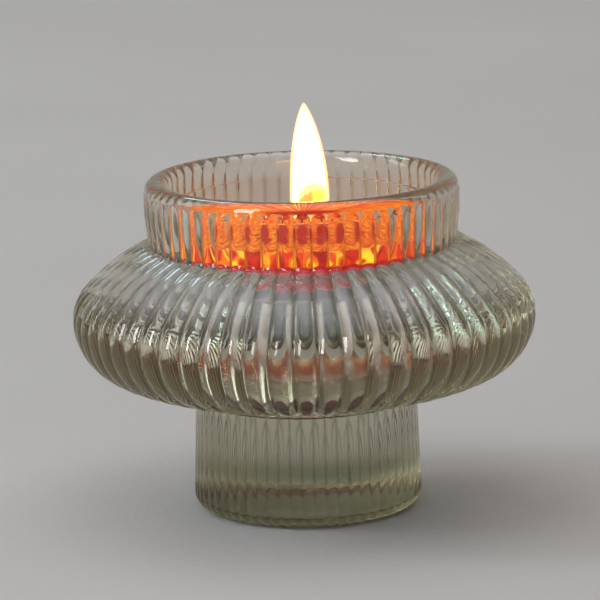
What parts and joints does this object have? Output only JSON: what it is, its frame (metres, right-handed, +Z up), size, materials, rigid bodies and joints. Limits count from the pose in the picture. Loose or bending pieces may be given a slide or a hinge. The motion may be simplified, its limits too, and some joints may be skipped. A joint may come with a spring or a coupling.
{
  "type": "tealight holder",
  "caption": "Low glass candle holder with a ribbed neck, wide rounded belly and narrow ribbed foot, holding a lift-out tealight in a clear cup.",
  "frame": {"origin": "centre of the base, on the surface that it stands on", "axes": "+Z up along the axis of revolution, +X the way the wick's tip curls"},
  "size_m": [0.07, 0.07, 0.0506],
  "materials": {
    "tinted_glass": "polished, pale grey-green",
    "clear_plastic": "thin clear plastic",
    "red_wax": "translucent red wax, melted on top",
    "wick_cotton": "charred braided cotton",
    "thin_metal": "thin stamped sheet"
  },
  "bodies": {
    "holder": {"holder_glass": "tinted_glass"},
    "tealight": {"tealight_cup": "clear_plastic", "wax": "red_wax", "wick": "wick_cotton", "wick_sustainer": "thin_metal"}
  },
  "joints": [
    {"name": "tealight_lift", "type": "slide", "parent": "holder", "child": "tealight", "axis": [0, 0, 1], "range_m": [0, 0.025]}
  ]
}
